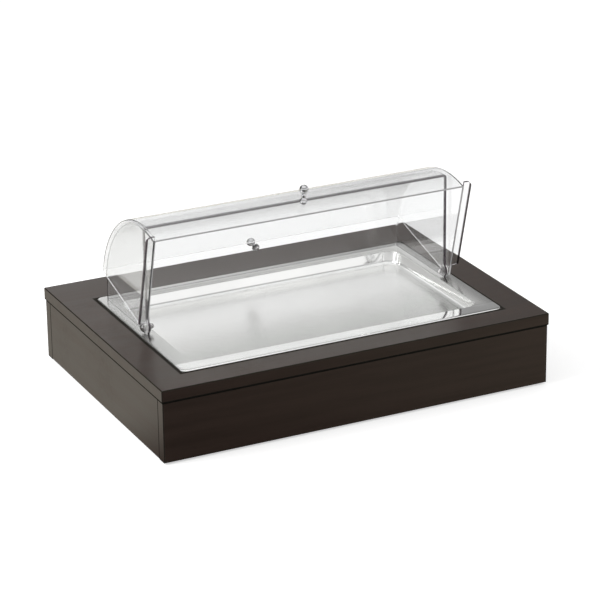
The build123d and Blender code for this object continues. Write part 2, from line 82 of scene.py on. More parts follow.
def startPoint(name, place):
    # a small plane is merged to one point, which the outline is then pulled from
    deselectAll()
    bpy.ops.mesh.primitive_plane_add(size=seedSize, location=place)
    settle(name)
    bpy.ops.object.mode_set(mode="EDIT")
    bpy.ops.mesh.select_mode(type="VERT")
    bpy.ops.mesh.select_all(action="SELECT")
    bpy.ops.mesh.merge(type="CENTER")


def lineTo(place):
    mesh = bmesh.from_edit_mesh(bpy.context.object.data)
    here = [vert.co.copy() for vert in mesh.verts if vert.select][0]
    bpy.ops.mesh.extrude_vertices_move(TRANSFORM_OT_translate={"value": Vector(place) - here})


def arcTo(centre, axis, angle, steps):
    # spin turns left-handed, so the angle changes sign
    bpy.ops.mesh.spin(steps=steps, angle=-math.radians(angle), center=centre, axis=axis)


def fillOutline():
    bpy.ops.mesh.select_all(action="SELECT")
    bpy.ops.mesh.remove_doubles(threshold=tiny / 2)
    bpy.ops.mesh.edge_face_add()


def pullFaces(step):
    bpy.ops.mesh.select_all(action="SELECT")
    bpy.ops.mesh.extrude_region_move(TRANSFORM_OT_translate={"value": step})
    bpy.ops.mesh.select_all(action="SELECT")
    bpy.ops.mesh.normals_make_consistent(inside=False)


def toObjectMode():
    bpy.ops.object.mode_set(mode="OBJECT")
    return bpy.context.object


def activate(piece):
    deselectAll()
    piece.select_set(True)
    bpy.context.view_layer.objects.active = piece


def applyModifier(piece, kind, **values):
    activate(piece)
    bpy.ops.object.modifier_add(type=kind)
    modifier = piece.modifiers[-1]
    for key, value in values.items():
        setattr(modifier, key, value)
    bpy.ops.object.modifier_apply(modifier=modifier.name)


def joinShape(piece, other, operation):
    applyModifier(piece, "BOOLEAN", operation=operation, solver="EXACT", object=other)
    bpy.data.objects.remove(other)


def softenEdges(piece, width, limit):
    # edges that turn by more than limit degrees
    applyModifier(
        piece, "BEVEL", width=width, segments=2, limit_method="ANGLE", angle_limit=math.radians(limit)
    )


def smoothByAngle(piece):
    activate(piece)
    bpy.ops.object.shade_smooth_by_angle(angle=smoothAngle)


def roundRod(name, centre, axis, radius, length, sides=32):
    # a cylinder whose middle stands at centre, along axis
    deselectAll()
    turn = Vector(axis).to_track_quat("Z", "Y").to_euler()
    bpy.ops.mesh.primitive_cylinder_add(
        vertices=sides, radius=radius, depth=length, location=centre, rotation=turn
    )
    settle(name)
    return bpy.context.object


# material helpers

def addNode(tree, kind, settings=None, inputs=None):
    node = tree.nodes.new(kind)
    for key, value in (settings or {}).items():
        setattr(node, key, value)
    for key, value in (inputs or {}).items():
        if isinstance(value, bpy.types.NodeSocket):
            tree.links.new(value, node.inputs[key])
        else:
            node.inputs[key].default_value = value
    return node


def newGroup(name, vectors, floats, results):
    # a node group with these inputs and results, and the sockets inside it that they come in and go out by
    tree = bpy.data.node_groups.new(name, "ShaderNodeTree")
    sockets = [(label, "INPUT", "NodeSocketVector") for label in vectors]
    sockets += [(label, "INPUT", "NodeSocketFloat") for label in floats]
    sockets += [(label, "OUTPUT", "NodeSocketFloat") for label in results]
    for label, way, kind in sockets:
        tree.interface.new_socket(name=label, in_out=way, socket_type=kind)
    return tree, tree.nodes.new("NodeGroupInput").outputs, tree.nodes.new("NodeGroupOutput").inputs


def groupNode(tree, group, inputs):
    return addNode(tree, "ShaderNodeGroup", {"node_tree": group}, inputs).outputs


def mathNode(tree, operation, *values):
    return addNode(tree, "ShaderNodeMath", {"operation": operation}, dict(enumerate(values))).outputs[0]


def vectorNode(tree, operation, *values):
    return addNode(tree, "ShaderNodeVectorMath", {"operation": operation}, dict(enumerate(values))).outputs[0]


def scaleVector(tree, vector, factor):
    return addNode(
        tree, "ShaderNodeVectorMath", {"operation": "SCALE"}, {0: vector, "Scale": factor}
    ).outputs[0]


def mapVector(tree, vector, **settings):
    return addNode(tree, "ShaderNodeMapping", None, {"Vector": vector, **settings}).outputs[0]


def splitAxes(tree, vector):
    return addNode(tree, "ShaderNodeSeparateXYZ", None, {0: vector}).outputs


def rangeNode(tree, value, fromMin, fromMax, toMin=0.0, toMax=1.0):
    return addNode(
        tree,
        "ShaderNodeMapRange",
        {"interpolation_type": "SMOOTHSTEP"},
        {"Value": value, "From Min": fromMin, "From Max": fromMax, "To Min": toMin, "To Max": toMax},
    ).outputs["Result"]


def noiseNode(tree, vector, scale, detail, roughness=0.55):
    return addNode(
        tree,
        "ShaderNodeTexNoise",
        None,
        {"Vector": vector, "Scale": scale, "Detail": detail, "Roughness": roughness},
    ).outputs["Fac"]


def mixColour(tree, factor, first, second):
    node = addNode(tree, "ShaderNodeMix", {"data_type": "RGBA"}, {"Factor": factor})
    for socket, value in ((node.inputs[6], first), (node.inputs[7], second)):
        if isinstance(value, bpy.types.NodeSocket):
            tree.links.new(value, socket)
        else:
            socket.default_value = (*value, 1)
    return node.outputs[2]


def objectPoints(tree):
    return addNode(tree, "ShaderNodeTexCoord").outputs["Object"]


def newMaterial(name, plain):
    material = bpy.data.materials.new(name)
    material.use_nodes = True
    tree = material.node_tree
    shader = tree.nodes["Principled BSDF"]
    for key, value in plain.items():
        shader.inputs[key].default_value = value
    return material, tree, shader


def bumpNode(tree, shader, height, strength, distance):
    bump = addNode(
        tree, "ShaderNodeBump", None, {"Height": height, "Strength": strength, "Distance": distance}
    )
    tree.links.new(bump.outputs["Normal"], shader.inputs["Normal"])


# effects that several materials share

# streaks of grain along X of the vector that comes in, and the pores in them
grainLook = {
    "driftScale": 3.0,
    "driftDetail": 2.0,
    "streakScale": (2.2, 60, 60),
    "streakDetail": 5.0,
    "streakRoughness": 0.62,
    "streakShare": 0.7,
    "fineScale": (14, 420, 420),
    "fineDetail": 3.0,
    "fineShare": 0.3,
    "toneRange": (0.34, 0.66),
    "poreDetail": 2.0,
    "poreRange": (0.60, 0.70),
}
grainGroup, given, result = newGroup("woodGrain", ["Vector"], ["Fineness", "Wave"], ["Tone", "Pores"])
scaled = scaleVector(grainGroup, given["Vector"], given["Fineness"])
drift = noiseNode(grainGroup, scaled, grainLook["driftScale"], grainLook["driftDetail"])
sway = mathNode(grainGroup, "MULTIPLY", mathNode(grainGroup, "SUBTRACT", drift, 0.5), given["Wave"])
swayed = vectorNode(grainGroup, "ADD", scaled, sway)
streaked = mapVector(grainGroup, swayed, Scale=grainLook["streakScale"])
fine = mapVector(grainGroup, swayed, Scale=grainLook["fineScale"])
streaks = noiseNode(grainGroup, streaked, 1.0, grainLook["streakDetail"], grainLook["streakRoughness"])
fines = noiseNode(grainGroup, fine, 1.0, grainLook["fineDetail"])
fines = mathNode(grainGroup, "MULTIPLY", fines, grainLook["fineShare"])
tone = mathNode(grainGroup, "MULTIPLY_ADD", streaks, grainLook["streakShare"], fines)
grainGroup.links.new(rangeNode(grainGroup, tone, *grainLook["toneRange"]), result["Tone"])
pores = noiseNode(grainGroup, fine, 1.0, grainLook["poreDetail"])
grainGroup.links.new(rangeNode(grainGroup, pores, *grainLook["poreRange"]), result["Pores"])

# patchy wear, partly a painted highlight, and a sharp narrower line of painted shade, where two faces of a
# block-shaped board meet
edgeLook = {"patchScale": 55.0, "patchDetail": 5.0, "patchRange": (0.35, 0.65), "patchLeast": 0.35}
edgeGroup, given, result = newGroup(
    "boardEdges", ["Vector", "Centre", "Half"], ["Width", "Seam"], ["Wear", "ShadeLine"]
)
offset = vectorNode(edgeGroup, "SUBTRACT", given["Vector"], given["Centre"])
folded = vectorNode(edgeGroup, "ABSOLUTE", offset)
axes = splitAxes(edgeGroup, vectorNode(edgeGroup, "SUBTRACT", folded, given["Half"]))
# the second largest of the three depths is near 0 only at an edge
lower = mathNode(edgeGroup, "MINIMUM", axes["X"], axes["Y"])
upper = mathNode(edgeGroup, "MINIMUM", mathNode(edgeGroup, "MAXIMUM", axes["X"], axes["Y"]), axes["Z"])
second = mathNode(edgeGroup, "MAXIMUM", lower, upper)
near = rangeNode(edgeGroup, second, mathNode(edgeGroup, "MULTIPLY", given["Width"], -1.0), 0.0)
patches = noiseNode(edgeGroup, given["Vector"], edgeLook["patchScale"], edgeLook["patchDetail"])
patches = rangeNode(edgeGroup, patches, *edgeLook["patchRange"], edgeLook["patchLeast"], 1.0)
edgeGroup.links.new(mathNode(edgeGroup, "MULTIPLY", near, patches), result["Wear"])
# painted shade: a narrow band along every edge of the board's box
shadeLine = mathNode(edgeGroup, "GREATER_THAN", second, mathNode(edgeGroup, "MULTIPLY", given["Seam"], -1.0))
edgeGroup.links.new(shadeLine, result["ShadeLine"])

# brushed lines along X of the vector that comes in, and the cloudy patches between them
brushLook = {
    "lineScale": (9, 1500, 1500),
    "lineDetail": 3.0,
    "lineRoughness": 0.7,
    "cloudScale": 7.0,
    "cloudDetail": 3.0,
    "cloudRange": (0.3, 0.7),
}
brushGroup, given, result = newGroup("brushedLines", ["Vector"], ["Fineness"], ["Lines", "Clouds"])
scaled = scaleVector(brushGroup, given["Vector"], given["Fineness"])
lined = mapVector(brushGroup, scaled, Scale=brushLook["lineScale"])
lines = noiseNode(brushGroup, lined, 1.0, brushLook["lineDetail"], brushLook["lineRoughness"])
brushGroup.links.new(lines, result["Lines"])
clouds = noiseNode(brushGroup, scaled, brushLook["cloudScale"], brushLook["cloudDetail"])
brushGroup.links.new(rangeNode(brushGroup, clouds, *brushLook["cloudRange"]), result["Clouds"])

# finger marks and wiped dust
smudgeLook = {
    "broadDetail": 3.0,
    "broadRange": (0.48, 0.72),
    "ridgeScale": 140.0,
    "ridgeDetail": 4.0,
    "ridgeRoughness": 0.7,
    "ridgeRange": (0.3, 0.75),
}
smudgeGroup, given, result = newGroup("handSmudge", ["Vector"], ["Size"], ["Smudge"])
broad = noiseNode(smudgeGroup, given["Vector"], given["Size"], smudgeLook["broadDetail"])
broad = rangeNode(smudgeGroup, broad, *smudgeLook["broadRange"])
ridged = noiseNode(
    smudgeGroup,
    given["Vector"],
    smudgeLook["ridgeScale"],
    smudgeLook["ridgeDetail"],
    smudgeLook["ridgeRoughness"],
)
ridged = rangeNode(smudgeGroup, ridged, *smudgeLook["ridgeRange"])
smudgeGroup.links.new(mathNode(smudgeGroup, "MULTIPLY", broad, ridged), result["Smudge"])


def smudgeNode(tree, points, size):
    return groupNode(tree, smudgeGroup, {"Vector": points, "Size": size})["Smudge"]


# the faint mottle and spark-eroded skin of moulded plastic
skinLook = {"mottleScale": 24.0, "mottleDetail": 4.0, "mottleRange": (0.3, 0.7), "heightDetail": 2.0}
skinGroup, given, result = newGroup("mouldSkin", ["Vector"], ["Size"], ["Mottle", "Height"])
mottle = noiseNode(skinGroup, given["Vector"], skinLook["mottleScale"], skinLook["mottleDetail"])
skinGroup.links.new(rangeNode(skinGroup, mottle, *skinLook["mottleRange"]), result["Mottle"])
height = noiseNode(skinGroup, given["Vector"], given["Size"], skinLook["heightDetail"])
skinGroup.links.new(height, result["Height"])
print("shared effects built")


# materials

quarterTurn = math.radians(90)
grainTurn = {"X": (0, 0, 0), "Y": (0, 0, quarterTurn), "Z": (0, quarterTurn, 0)}
darkWood = {
    "deep": (0.0215, 0.0125, 0.0100),
    "warm": (0.0300, 0.0172, 0.0138),
    # edges rubbed lighter by wear, which also stands in for a painted highlight
    "wornAndLit": (0.100, 0.086, 0.070),
    # the colour of the painted shade in the seam, along the arrises and beside the tray's rim
    "paintedShade": (0.0012, 0.0010, 0.0008),
    "ior": 1.5,
    "specular": 0.45,
    "gloss": (1.0, 0.985, 0.82),
    "fineness": 1.0,
    "wave": 0.02,
    "poreShare": 0.4,
    "edgeWidth": 0.0030,
    "wearHighlightShare": 0.14,
    "arris": 0.0013,
    "arrisShare": 0.8,
    "slabBase": 0.097,
    "seam": 0.0019,
    "smudgeSize": 9.0,
    "rough": 0.30,
    "grainRough": 0.06,
    "smudgeRough": 0.07,
    "bump": 0.08,
    "bumpHeight": 0.0004,
}
# how far inside and outside the rim's outline its dark line on the slab starts and fades
rimShadow = {"inside": (-0.0030, -0.0005), "outside": (0.0018, 0.0062), "depth": 0.9}


def pastBox(tree, points, node):
    # how far a point lies outside the node's box as seen from above, negative inside
    low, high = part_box(node)
    folded = vectorNode(tree, "ABSOLUTE", vectorNode(tree, "SUBTRACT", points, (low + high) / 2))
    axes = splitAxes(tree, vectorNode(tree, "SUBTRACT", folded, (high - low) / 2))
    return mathNode(tree, "MAXIMUM", axes["X"], axes["Y"])


def besideRim(tree, points):
    # the narrow dark line that the turned edge of the tray's rim casts on the slab
    past = pastBox(tree, points, "steel_tray")
    outside = rangeNode(tree, past, *rimShadow["outside"], rimShadow["depth"], 0.0)
    return mathNode(tree, "MULTIPLY", outside, rangeNode(tree, past, *rimShadow["inside"]))


def makeDarkWood(name, node, along):
    # satin dark wood, whose grain runs along X or Y of the board
    material, tree, shader = newMaterial(
        name,
        {
            "IOR": darkWood["ior"],
            "Specular IOR Level": darkWood["specular"],
            "Specular Tint": (*darkWood["gloss"], 1),
        },
    )
    points = objectPoints(tree)
    turned = mapVector(tree, points, Rotation=grainTurn[along])
    grain = groupNode(
        tree, grainGroup, {"Vector": turned, "Fineness": darkWood["fineness"], "Wave": darkWood["wave"]}
    )
    low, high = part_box(node)
    edges = groupNode(
        tree,
        edgeGroup,
        {
            "Vector": points,
            "Centre": (low + high) / 2,
            "Half": (high - low) / 2,
            "Width": darkWood["edgeWidth"],
            "Seam": darkWood["arris"],
        },
    )
    wood = mixColour(tree, grain["Tone"], darkWood["deep"], darkWood["warm"])
    pores = mathNode(tree, "MULTIPLY", grain["Pores"], darkWood["poreShare"])
    wood = mixColour(tree, pores, wood, darkWood["deep"])
    # rubbed wear and a painted highlight make the edges lighter
    wearAndHighlight = mathNode(tree, "MULTIPLY", edges["Wear"], darkWood["wearHighlightShare"])
    wood = mixColour(tree, wearAndHighlight, wood, darkWood["wornAndLit"])
    # painted shade: the seam under the slab and the boards' arrises stand out as thin dark lines
    level = splitAxes(tree, points)["Z"]
    atSeam = mathNode(tree, "COMPARE", level, darkWood["slabBase"], darkWood["seam"])
    arris = mathNode(tree, "MULTIPLY", edges["ShadeLine"], darkWood["arrisShare"])
    paintedShade = mathNode(tree, "MAXIMUM", atSeam, arris)
    if node == "top_frame":
        paintedShade = mathNode(tree, "MAXIMUM", paintedShade, besideRim(tree, points))
    tree.links.new(mixColour(tree, paintedShade, wood, darkWood["paintedShade"]), shader.inputs["Base Color"])
    rough = mathNode(tree, "MULTIPLY_ADD", grain["Tone"], darkWood["grainRough"], darkWood["rough"])
    smudge = smudgeNode(tree, points, darkWood["smudgeSize"])
    rough = mathNode(tree, "MULTIPLY_ADD", smudge, darkWood["smudgeRough"], rough)
    tree.links.new(mathNode(tree, "MAXIMUM", rough, paintedShade), shader.inputs["Roughness"])
    height = mathNode(tree, "SUBTRACT", grain["Tone"], grain["Pores"])
    bumpNode(tree, shader, height, darkWood["bump"], darkWood["bumpHeight"])
    return material


rawWood = {"ior": 1.45, "wave": 0.05, "rough": 0.62, "grainRough": 0.12, "bump": 0.3, "bumpHeight": 0.0003}


def makeRawWood(name, light, dark, fineness, along):
    material, tree, shader = newMaterial(name, {"IOR": rawWood["ior"]})
    turned = mapVector(tree, objectPoints(tree), Rotation=grainTurn[along])
    grain = groupNode(tree, grainGroup, {"Vector": turned, "Fineness": fineness, "Wave": rawWood["wave"]})
    tree.links.new(mixColour(tree, grain["Tone"], dark, light), shader.inputs["Base Color"])
    rough = mathNode(tree, "MULTIPLY_ADD", grain["Tone"], rawWood["grainRough"], rawWood["rough"])
    tree.links.new(rough, shader.inputs["Roughness"])
    bumpNode(tree, shader, grain["Tone"], rawWood["bump"], rawWood["bumpHeight"])
    return material


steel = {
    "cloudShade": 0.93,
    "lineRange": (0.3, 0.7),
    "smudgeSize": 14.0,
    "smudgeRough": 0.06,
    "bumpHeight": 0.0002,
}


def makeSteel(name, tint, roughRange, fineness, bump):
    material, tree, shader = newMaterial(name, {"Metallic": 1.0})
    points = objectPoints(tree)
    brushed = groupNode(tree, brushGroup, {"Vector": points, "Fineness": fineness})
    darker = tuple(value * steel["cloudShade"] for value in tint)
    tree.links.new(mixColour(tree, brushed["Clouds"], darker, tint), shader.inputs["Base Color"])
    rough = rangeNode(tree, brushed["Lines"], *steel["lineRange"], *roughRange)
    smudge = smudgeNode(tree, points, steel["smudgeSize"])
    rough = mathNode(tree, "MULTIPLY_ADD", smudge, steel["smudgeRough"], rough)
    tree.links.new(rough, shader.inputs["Roughness"])
    bumpNode(tree, shader, brushed["Lines"], bump, steel["bumpHeight"])
    return material


trayFinish = {
    # painted highlight on the polished strip along the front of the rim and on the walls
    "bright": (0.95, 0.95, 0.94),
    # painted shade: the floor darkens from the rear towards the front, and the flange is greyer
    "shadedFront": (0.60, 0.605, 0.585),
    "litRear": (0.98, 0.98, 0.97),
    "shadeRange": (-0.16, 0.07),
    "flange": (0.70, 0.70, 0.685),
    "stripFront": -0.1525,
    "rimLevel": 0.1160,
    "wallRange": (0.099, 0.1035),
    "cloud": (0.30, 0.30, 0.29),
    "cloudLeast": 0.93,
    "fineness": 1.0,
    "floorRough": 0.21,
    "lineRough": 0.04,
    "smudgeSize": 14.0,
    "smudgeRough": 0.05,
    "polish": 0.32,
    "bump": 0.03,
    "bumpHeight": 0.0002,
}


def makeTraySteel(name):
    # the floor and the flange are satin, the front of the rim and the walls are polished; painted shade
    # darkens the front of the floor and greys the flange, and a painted highlight brightens the front of the
    # rim and the walls
    material, tree, shader = newMaterial(name, {"Metallic": 1.0})
    points = objectPoints(tree)
    axes = splitAxes(tree, points)
    brushed = groupNode(tree, brushGroup, {"Vector": points, "Fineness": trayFinish["fineness"]})
    # painted highlight: a bright strip along the front of the rim
    inFront = mathNode(tree, "LESS_THAN", axes["Y"], trayFinish["stripFront"])
    onRim = mathNode(tree, "GREATER_THAN", axes["Z"], trayFinish["rimLevel"])
    highlightStrip = mathNode(tree, "MULTIPLY", inFront, onRim)
    rising = rangeNode(tree, axes["Z"], *trayFinish["wallRange"])
    wall = mathNode(tree, "MULTIPLY", rising, mathNode(tree, "SUBTRACT", 1.0, onRim))
    polishedAndLit = mathNode(tree, "MAXIMUM", highlightStrip, wall)
    # painted shade: darker towards the front of the floor
    across = rangeNode(tree, axes["Y"], *trayFinish["shadeRange"])
    paintedSatin = mixColour(tree, across, trayFinish["shadedFront"], trayFinish["litRear"])
    # painted shade: the flange greyer than the floor
    paintedSatin = mixColour(tree, onRim, paintedSatin, trayFinish["flange"])
    colour = mixColour(tree, polishedAndLit, paintedSatin, trayFinish["bright"])
    clouds = rangeNode(tree, brushed["Clouds"], 0.0, 1.0, trayFinish["cloudLeast"], 1.0)
    tree.links.new(mixColour(tree, clouds, trayFinish["cloud"], colour), shader.inputs["Base Color"])
    rough = mathNode(
        tree, "MULTIPLY_ADD", brushed["Lines"], trayFinish["lineRough"], trayFinish["floorRough"]
    )
    smudge = smudgeNode(tree, points, trayFinish["smudgeSize"])
    rough = mathNode(tree, "MULTIPLY_ADD", smudge, trayFinish["smudgeRough"], rough)
    polish = rangeNode(tree, polishedAndLit, 0.0, 1.0, 1.0, trayFinish["polish"])
    tree.links.new(mathNode(tree, "MULTIPLY", rough, polish), shader.inputs["Roughness"])
    bumpNode(tree, shader, brushed["Lines"], trayFinish["bump"], trayFinish["bumpHeight"])
    return material


plastic = {"skinSize": 900.0, "smudgeSize": 18.0, "smudgeRough": 0.1, "bump": 0.15, "bumpHeight": 0.0002}


def makePlastic(name, light, dark, rough):
    material, tree, shader = newMaterial(name, {})
    points = objectPoints(tree)
    skin = groupNode(tree, skinGroup, {"Vector": points, "Size": plastic["skinSize"]})
    tree.links.new(mixColour(tree, skin["Mottle"], dark, light), shader.inputs["Base Color"])
    smudge = smudgeNode(tree, points, plastic["smudgeSize"])
    roughness = mathNode(tree, "MULTIPLY_ADD", smudge, plastic["smudgeRough"], rough)
    tree.links.new(roughness, shader.inputs["Roughness"])
    bumpNode(tree, shader, skin["Height"], plastic["bump"], plastic["bumpHeight"])
    return material


def letLampsThrough(tree, shader, tint):
    # rays from lamps pass the clear plastic as if it were open, so what it covers stays lit
    clear = addNode(tree, "ShaderNodeBsdfTransparent", None, {"Color": (*tint, 1)})
    path = addNode(tree, "ShaderNodeLightPath")
    mix = addNode(
        tree,
        "ShaderNodeMixShader",
        None,
        {0: path.outputs["Is Shadow Ray"], 1: shader.outputs[0], 2: clear.outputs[0]},
    )
    tree.links.new(mix.outputs[0], tree.nodes["Material Output"].inputs["Surface"])


clearPlastic = {"ior": 1.49, "smudgeSize": 10.0, "smudgeRough": 0.05, "edgeShade": (0.07, 0.06, 0.065)}


def makeClear(name, tint, rough, clearness, nearEdge=None):
    material, tree, shader = newMaterial(
        name,
        {
            "Base Color": (*tint, 1),
            "Transmission Weight": clearness,
            "IOR": clearPlastic["ior"],
            "Roughness": rough,
        },
    )
    points = objectPoints(tree)
    if nearEdge is not None:
        # painted shade in a band beside the edge
        shade = nearEdge(tree, splitAxes(tree, points))
        shade = mixColour(tree, shade, tint, clearPlastic["edgeShade"])
        tree.links.new(shade, shader.inputs["Base Color"])
    smudge = smudgeNode(tree, points, clearPlastic["smudgeSize"])
    roughness = mathNode(tree, "MULTIPLY_ADD", smudge, clearPlastic["smudgeRough"], rough)
    tree.links.new(roughness, shader.inputs["Roughness"])
    letLampsThrough(tree, shader, tint)
    return material


# painted shade: the walls are dark beside the sawn front edge of the rear cover and the sawn outer edges of
# the ears
edgeShadeBand = {"rearEdge": (-0.0240, -0.0208), "aboveLug": 0.138, "earEdge": 0.2660}


def besideRearEdge(tree, axes):
    inFront = rangeNode(tree, axes["Y"], *edgeShadeBand["rearEdge"], 1.0, 0.0)
    above = mathNode(tree, "GREATER_THAN", axes["Z"], edgeShadeBand["aboveLug"])
    return mathNode(tree, "MULTIPLY", inFront, above)


def besideEarEdge(tree, axes):
    return mathNode(tree, "GREATER_THAN", mathNode(tree, "ABSOLUTE", axes["X"]), edgeShadeBand["earEdge"])


foam = {
    "rough": 0.85,
    "beadScale": 260.0,
    "beadRange": (0.2, 0.75),
    "bead": (0.80, 0.81, 0.80),
    "joint": (0.62, 0.64, 0.63),
    "bump": 0.6,
    "bumpHeight": -0.0006,
}


def makeFoam(name):
    material, tree, shader = newMaterial(name, {"Roughness": foam["rough"]})
    beads = addNode(
        tree,
        "ShaderNodeTexVoronoi",
        {"feature": "F1"},
        {"Vector": objectPoints(tree), "Scale": foam["beadScale"]},
    ).outputs["Distance"]
    colour = mixColour(tree, rangeNode(tree, beads, *foam["beadRange"]), foam["bead"], foam["joint"])
    tree.links.new(colour, shader.inputs["Base Color"])
    bumpNode(tree, shader, beads, foam["bump"], foam["bumpHeight"])
    return material


rawWoods = {
    "pine": {"light": (0.56, 0.40, 0.24), "dark": (0.42, 0.27, 0.14), "fineness": 1.4, "along": "Z"},
    "bearerPine": {"light": (0.58, 0.42, 0.26), "dark": (0.43, 0.28, 0.15), "fineness": 1.0, "along": "Y"},
    "beech": {"light": (0.60, 0.41, 0.26), "dark": (0.47, 0.30, 0.18), "fineness": 3.0, "along": "Y"},
    "hardboard": {"light": (0.19, 0.115, 0.065), "dark": (0.12, 0.070, 0.040), "fineness": 2.5, "along": "X"},
}
steels = {
    "zincSteel": {"tint": (0.62, 0.63, 0.65), "roughRange": (0.30, 0.48), "fineness": 3.0, "bump": 0.2},
    "turnedSteel": {"tint": (0.50, 0.49, 0.49), "roughRange": (0.10, 0.20), "fineness": 4.0, "bump": 0.10},
    "chrome": {"tint": (0.64, 0.64, 0.65), "roughRange": (0.02, 0.06), "fineness": 6.0, "bump": 0.02},
}
plastics = {
    "footRubber": {"light": (0.035, 0.035, 0.036), "dark": (0.022, 0.022, 0.023), "rough": 0.62},
    "liner": {"light": (0.76, 0.77, 0.76), "dark": (0.70, 0.71, 0.70), "rough": 0.38},
    "coldPack": {"light": (0.20, 0.42, 0.62), "dark": (0.14, 0.33, 0.54), "rough": 0.34},
    "packCap": {"light": (0.80, 0.81, 0.82), "dark": (0.72, 0.73, 0.75), "rough": 0.36},
    "bush": {"light": (0.72, 0.72, 0.70), "dark": (0.62, 0.62, 0.60), "rough": 0.42},
}
wallTint = (0.957, 0.960, 0.960)
clears = {
    "clearRear": {"tint": wallTint, "rough": 0.0, "clearness": 0.985, "nearEdge": besideRearEdge},
    "clearFront": {"tint": wallTint, "rough": 0.0, "clearness": 0.985, "nearEdge": besideEarEdge},
    # painted shade: the sawn edges are tinted dark
    "sawnEdge": {"tint": (0.09, 0.065, 0.08), "rough": 0.12, "clearness": 0.4},
    "polishedEdge": {"tint": (0.84, 0.83, 0.84), "rough": 0.20, "clearness": 0.45},
}
materials = {"traySteel": makeTraySteel("traySteel"), "foam": makeFoam("foam")}
for make, recipes in (
    (makeRawWood, rawWoods),
    (makeSteel, steels),
    (makePlastic, plastics),
    (makeClear, clears),
):
    for name, recipe in recipes.items():
        materials[name] = make(name, **recipe)
print("materials built:", len(materials))


# CAD nodes that stay, with their finishes

def dress(node, material):
    piece = nodes[node]
    piece.data.materials.clear()
    piece.data.materials.append(material)


for node, along in (
    ("front_board", "X"),
    ("rear_board", "X"),
    ("left_board", "Y"),
    ("right_board", "Y"),
    ("top_frame", "X"),
):
    dress(node, makeDarkWood(node + "Wood", node, along))
for node, finish in {
    "board_dowels": "beech",
    "bottom_board": "hardboard",
    "corner_blocks": "pine",
    "well_bearers": "bearerPine",
    "block_screws": "zincSteel",
    "slab_screws": "zincSteel",
    "feet": "footRubber",
    "foam_insulation": "foam",
    "well_liner": "liner",
    "cold_pack_left": "coldPack",
    "cold_pack_right": "coldPack",
    "cold_pack_caps": "packCap",
    "pivot_bush_left": "bush",
    "pivot_bush_right": "bush",
    "cap_nut_left": "turnedSteel",
    "cap_nut_right": "turnedSteel",
    "pivot_washers": "turnedSteel",
    "front_knob": "chrome",
    "rear_knob": "chrome",
    "front_knob_washer": "turnedSteel",
    "rear_knob_washer": "turnedSteel",
}.items():
    dress(node, materials[finish])
print("CAD nodes dressed")


def finishPiece(piece, body, node, slotName, *finishes):
    # gives a new piece its materials, ties it to its CAD body and hides the CAD node that it stands in for
    for finish in finishes:
        if piece.data.materials.get(finish) is None:
            piece.data.materials.append(materials[finish])
    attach(piece, body)
    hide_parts(node)


# pressed steel tray

tray = {
    "length": 0.530,
    "width": 0.325,
    "shift": -0.017,
    "rimTop": 0.118,
    "rimWidth": 0.027,
    "rimDrop": 0.002,
    "rimCorner": 0.011,
    "wellCorner": 0.022,
    "depth": 0.020,
    "draft": 14,
    "floorRadius": 0.006,
    "floorSteps": 8,
    "floorLeastArea": 0.05,
    "mouthRadius": 0.0019,
    "mouthSteps": 5,
    "rollWidth": 0.0042,
    "rollHeight": 0.0013,
    "rollSteps": 8,
    "sheet": 0.001,
    "cornerSteps": 14,
}


def roundedLoop(name, length, width, corner, height, shift, steps):
    # a loop of edges, corner by corner, anticlockwise from the right side of the front edge
    halfX = length / 2
    halfY = width / 2
    startPoint(name, (-halfX + corner, shift - halfY, height))
    for signX, signY in ((1, -1), (1, 1), (-1, 1), (-1, -1)):
        centre = Vector((signX * (halfX - corner), shift + signY * (halfY - corner), height))
        before = Vector((0, signY, 0)) if signX * signY < 0 else Vector((signX, 0, 0))
        lineTo(centre + before * corner)
        arcTo(centre, (0, 0, 1), 90, steps)
    bpy.ops.mesh.select_all(action="SELECT")
    bpy.ops.mesh.remove_doubles(threshold=tiny)
    return toObjectMode()


def onLoop(height):
    return lambda edge: all(abs(vert.co.z - height) < tiny for vert in edge.verts)


wellLength = tray["length"] - 2 * tray["rimWidth"]
wellWidth = tray["width"] - 2 * tray["rimWidth"]
rimTop = tray["rimTop"]
mouth = roundedLoop(
    "mouth", wellLength, wellWidth, tray["wellCorner"], rimTop, tray["shift"], tray["cornerSteps"]
)
trayPiece = roundedLoop(
    "tray",
    tray["length"] - 2 * tray["rollWidth"],
    tray["width"] - 2 * tray["rollWidth"],
    tray["rimCorner"],
    rimTop,
    tray["shift"],
    tray["cornerSteps"],
)
activate(trayPiece)
mouth.select_set(True)
bpy.ops.object.join()
bpy.ops.object.mode_set(mode="EDIT")
bpy.ops.mesh.select_mode(type="EDGE")
bpy.ops.mesh.select_all(action="SELECT")
bpy.ops.mesh.bridge_edge_loops()


def onMouth(edge):
    return all(
        abs(vert.co.x) < wellLength / 2 + tiny
        and abs(vert.co.y - tray["shift"]) < wellWidth / 2 + tiny
        and abs(vert.co.z - rimTop) < tiny
        for vert in edge.verts
    )


pick("EDGE", onMouth)
lean = tray["depth"] * math.tan(math.radians(tray["draft"]))
bpy.ops.mesh.extrude_edges_move(TRANSFORM_OT_translate={"value": (0, 0, -tray["depth"])})
bpy.ops.transform.resize(
    value=(1 - 2 * lean / wellLength, 1 - 2 * lean / wellWidth, 1),
    center_override=(0, tray["shift"], rimTop - tray["depth"]),
)
bpy.ops.mesh.edge_face_add()
pick("EDGE", onLoop(rimTop - tray["depth"]))
bpy.ops.mesh.bevel(
    offset=tray["floorRadius"], segments=tray["floorSteps"], affect="EDGES", clamp_overlap=True
)
pick("EDGE", onMouth)
bpy.ops.mesh.bevel(
    offset=tray["mouthRadius"], segments=tray["mouthSteps"], affect="EDGES", clamp_overlap=True
)
